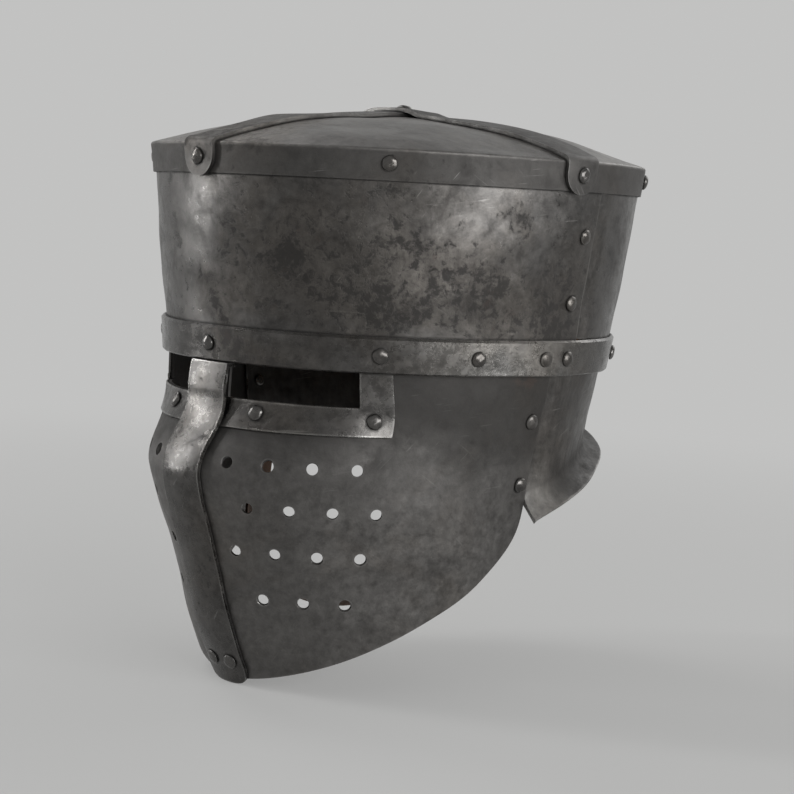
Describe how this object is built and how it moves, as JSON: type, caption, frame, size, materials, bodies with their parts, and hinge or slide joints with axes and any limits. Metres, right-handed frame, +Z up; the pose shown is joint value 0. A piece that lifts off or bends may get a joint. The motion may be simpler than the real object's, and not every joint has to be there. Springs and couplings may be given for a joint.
{
  "type": "great helm",
  "caption": "Riveted great helm with a domed cap, a flared oval wall, a keeled face plate with eye slots and breath holes, a nape flare, a leather lining and a chin strap.",
  "frame": {"origin": "centre of the head opening at the mid height of the brow band", "axes": "+X to the wearer's left, +Y backwards, +Z up to the crown"},
  "size_m": [0.2594, 0.2834, 0.2997],
  "materials": {
    "dark_steel": "aged, dark patina in patches",
    "worn_steel": "aged, worn brighter along the edges",
    "rivet_steel": "hammered heads, worn bright",
    "buckle_iron": "blackened",
    "liner_leather": "soft, oiled",
    "strap_leather": "firm, burnished edges",
    "pad_linen": "woven, quilted",
    "lace_cord": "twisted cord"
  },
  "bodies": {
    "helm": {"cap_plate": "dark_steel", "cap_strap_long": "worn_steel", "cap_strap_cross": "worn_steel", "skull_plate_front": "dark_steel", "skull_plate_back": "dark_steel", "brow_band_front": "worn_steel", "brow_band_back": "worn_steel", "face_plate": "dark_steel", "nape_plate": "dark_steel", "eye_frame_left": "worn_steel", "eye_frame_right": "worn_steel", "nasal_strap": "worn_steel", "crown_rivet": "rivet_steel", "cap_strap_rivets": "rivet_steel", "cap_rim_rivets": "rivet_steel", "skull_seam_rivets": "rivet_steel", "brow_band_rivets": "rivet_steel", "eye_frame_rivets": "rivet_steel", "face_seam_rivets": "rivet_steel", "nasal_rivets": "rivet_steel", "liner_band": "liner_leather", "liner_washers": "rivet_steel", "brow_pad": "pad_linen", "liner_tongue_1": "liner_leather", "liner_tongue_2": "liner_leather", "liner_tongue_3": "liner_leather", "liner_tongue_4": "liner_leather", "liner_tongue_5": "liner_leather", "liner_tongue_6": "liner_leather", "liner_tongue_7": "liner_leather", "liner_tongue_8": "liner_leather", "liner_lace": "lace_cord", "chin_strap_rivets": "rivet_steel", "chin_strap_spacers": "rivet_steel"},
    "chin_strap": {"chin_strap_long": "strap_leather", "chin_strap_short": "strap_leather", "buckle_frame": "buckle_iron", "strap_keeper": "strap_leather"},
    "buckle_tongue": {"buckle_tongue": "buckle_iron"}
  },
  "joints": [
    {"name": "chin_strap_swing", "type": "hinge", "parent": "helm", "child": "chin_strap", "pos_m": [0, -0.00379, -0.0652], "axis": [1, 0, 0], "range_deg": [-40, 110]},
    {"name": "buckle_tongue_turn", "type": "hinge", "parent": "chin_strap", "child": "buckle_tongue", "pos_m": [0.07203, -0.02995, -0.09868], "axis": [0, -0.788, 0.6157], "range_deg": [0, 60]}
  ]
}
